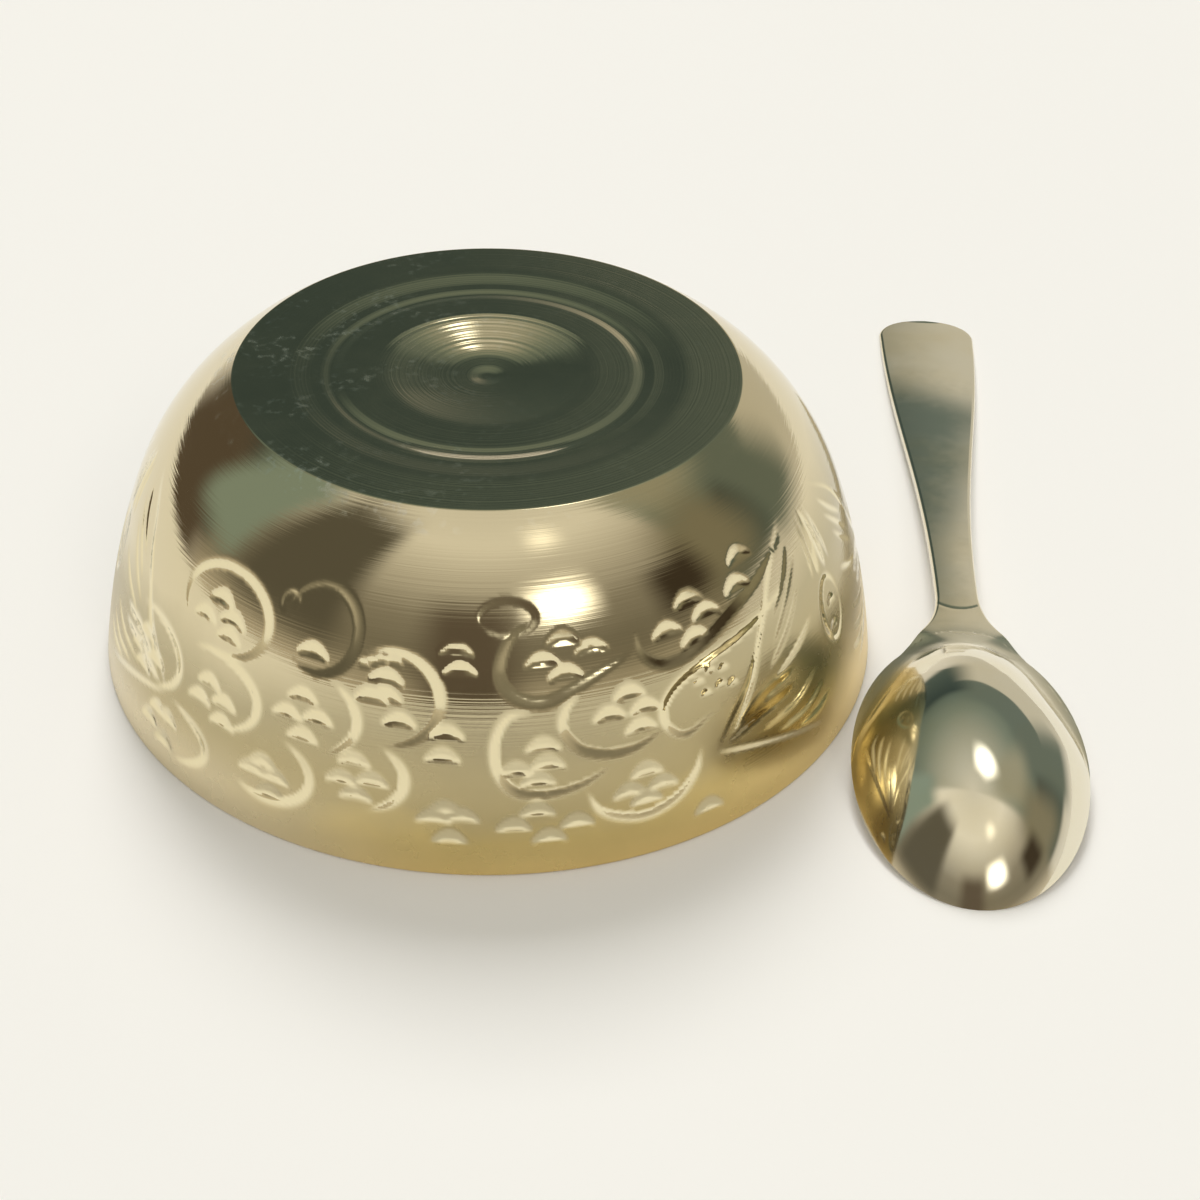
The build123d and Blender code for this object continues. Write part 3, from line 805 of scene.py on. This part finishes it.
studio = dict(
    floorSize=40.0, floorColour=(0.93, 0.91, 0.88, 1), floorGlow=0.10,
    farSky=[  # degrees above the horizon, and colour
        (0, (0.78, 0.75, 0.69)), (7, (0.70, 0.67, 0.61)), (10.5, (0.085, 0.115, 0.105)),
        (33, (0.045, 0.066, 0.065)), (38, (0.13, 0.17, 0.15)), (50, (0.22, 0.26, 0.22)),
        (68, (0.45, 0.45, 0.38)), (90, (0.72, 0.70, 0.64)),
    ],
    nearSky=[
        (0, (0.62, 0.56, 0.46)), (6, (0.42, 0.38, 0.305)), (12, (0.25, 0.225, 0.175)),
        (20, (0.22, 0.20, 0.155)), (34, (0.29, 0.265, 0.215)), (50, (0.58, 0.55, 0.48)),
        (65, (0.86, 0.83, 0.76)), (90, (0.72, 0.70, 0.64)),
    ],
    farMiddle=12.0, farHalf=88.0, farSoft=5.0,  # azimuth from +Y to +X over which the far sky is seen
    panels=[  # middle of azimuth, half-width, softness; lowest and highest elevation, softness; colour
        (-55, 22, 7, -5, 34, 6, (0.11, 0.085, 0.06)),
        (-76, 13, 5, 14, 58, 6, (0.26, 0.33, 0.29)),
        (-112, 20, 6, 12, 66, 8, (0.12, 0.11, 0.085)),
        (34, 27, 9, 22, 43, 4, (0.15, 0.185, 0.165)),
        (60, 13, 5, 5, 44, 6, (0.15, 0.18, 0.155)),
        (29, 22, 9, -5, 25.2, 0.9, (0.60, 0.57, 0.49)),
        (75, 18, 10, 44, 70, 8, (0.36, 0.35, 0.27)),
        (-174, 14, 8, -2, 40, 7, (0.13, 0.105, 0.08)),
        (94, 15, 10, 12, 46, 10, (0.24, 0.22, 0.155)),
        (112, 10, 6, 18, 36, 5, (0.055, 0.042, 0.028)),
        (154, 9, 9, 33, 45, 6, (5.0, 4.9, 4.6)),
        (41, 18, 18, 68, 76, 5, (5.0, 4.9, 4.6)),
        (146, 8, 8, 63, 69, 4, (1.7, 1.65, 1.5)),
    ],
    lamps=[  # azimuth, elevation, distance in metres, side, strength in watts
        ("softBox", -3.0, 47.0, 9.0, 3.6, 545.0),
        ("fill", 200.0, 55.0, 1.0, 0.60, 0.8),
    ],
)


def makeFloor(look):
    # a flat matte square; what is seen of it, straight or mirrored, also glows a little
    half = look["floorSize"] / 2
    mesh = bpy.data.meshes.new("floor")
    corners = [(-half, -half, 0), (half, -half, 0), (half, half, 0), (-half, half, 0)]
    mesh.from_pydata(corners, [], [(0, 1, 2, 3)])
    floor = bpy.data.objects.new("floor", mesh)
    bpy.context.scene.collection.objects.link(floor)
    material, tree = newMaterial("floorPaper")
    rays = addNode(tree, "ShaderNodeLightPath")
    seen = mathNode(tree, "MAXIMUM", rays.outputs["Is Camera Ray"], rays.outputs["Is Glossy Ray"])
    seen = mathNode(tree, "MAXIMUM", seen, rays.outputs["Is Transmission Ray"])
    share = mathNode(tree, "MULTIPLY", seen, look["floorGlow"])
    matte = addNode(tree, "ShaderNodeBsdfDiffuse", {"Color": look["floorColour"]})
    glow = addNode(tree, "ShaderNodeEmission", {"Color": look["floorColour"], "Strength": 1.0})
    both = addNode(tree, "ShaderNodeMixShader", {0: share, 1: matte.outputs[0], 2: glow.outputs[0]})
    addNode(tree, "ShaderNodeOutputMaterial", {0: both.outputs[0]})
    mesh.materials.append(material)


def makeSurroundings(look):
    # colour by height above the horizon, on the far and the near side, with soft-edged panels laid over it
    world = bpy.data.worlds.new("studio")
    bpy.context.scene.world = world
    world.use_nodes = True
    tree = world.node_tree
    tree.nodes.clear()
    way = addNode(tree, "ShaderNodeTexCoord").outputs["Generated"]
    x, y, z = addNode(tree, "ShaderNodeSeparateXYZ", {0: way}).outputs
    azimuth = mathNode(tree, "DEGREES", mathNode(tree, "ARCTAN2", x, y))
    elevation = mathNode(tree, "DEGREES", mathNode(tree, "ARCSINE", z))

    def between(middle, half, soft):  # 1 within so many degrees of an azimuth
        aside = mathNode(tree, "WRAP", mathNode(tree, "SUBTRACT", azimuth, middle), 180.0, -180.0)
        return rangeNode(tree, mathNode(tree, "ABSOLUTE", aside), half + soft, half - soft)

    share = mathNode(tree, "DIVIDE", elevation, 90.0)
    near, far = [rampNode(tree, share, [(e / 90, c) for e, c in look[k]]) for k in ("nearSky", "farSky")]
    colour = mixColour(tree, between(look["farMiddle"], look["farHalf"], look["farSoft"]), near, far)
    for middle, half, side, low, high, soft, tone in look["panels"]:
        above = rangeNode(tree, elevation, low - soft, low + soft)
        below = rangeNode(tree, elevation, high + soft, high - soft)
        share = mathNode(tree, "MULTIPLY", above, below)
        share = mathNode(tree, "MULTIPLY", share, between(middle, half, side))
        colour = mixColour(tree, share, colour, (*tone, 1))
    back = addNode(tree, "ShaderNodeBackground", {"Color": colour, "Strength": 1.0})
    addNode(tree, "ShaderNodeOutputWorld", {0: back.outputs[0]})


def makeLamps(look):
    # square lamps that light the floor and give the shadow; the metal mirrors the panels instead
    for name, azimuth, elevation, distance, side, watts in look["lamps"]:
        a, e = np.radians([azimuth, elevation])
        light = bpy.data.lights.new(name, "AREA")
        light.size, light.energy = side, watts
        lamp = bpy.data.objects.new(name, light)
        lamp.location = distance * np.array([np.sin(a) * np.cos(e), np.cos(a) * np.cos(e), np.sin(e)])
        lamp.rotation_euler = (np.pi / 2 - e, 0, np.pi - a)
        lamp.visible_glossy = False
        bpy.context.scene.collection.objects.link(lamp)


makeFloor(studio)
makeSurroundings(studio)
makeLamps(studio)
print("studio lit")

camera = dict(
    eye=(0.0, -0.23592, 0.17589), down=36.26, right=0.36,  # degrees below level, and towards +X
    lens=70.0, sensor=36.0, pictureWide=1200, middleAt=500,  # pixel column that the lens points at
)
lens = bpy.data.cameras.new("camera")
lens.lens, lens.sensor_width = camera["lens"], camera["sensor"]
lens.shift_x = 0.5 - camera["middleAt"] / camera["pictureWide"]
lens.clip_start = 0.01
eye = bpy.data.objects.new("camera", lens)
eye.location = camera["eye"]
eye.rotation_euler = np.radians([90 - camera["down"], 0, -camera["right"]])
bpy.context.scene.collection.objects.link(eye)
bpy.context.scene.camera = eye
bpy.context.scene.view_settings.view_transform = "Standard"

print("scene ready")
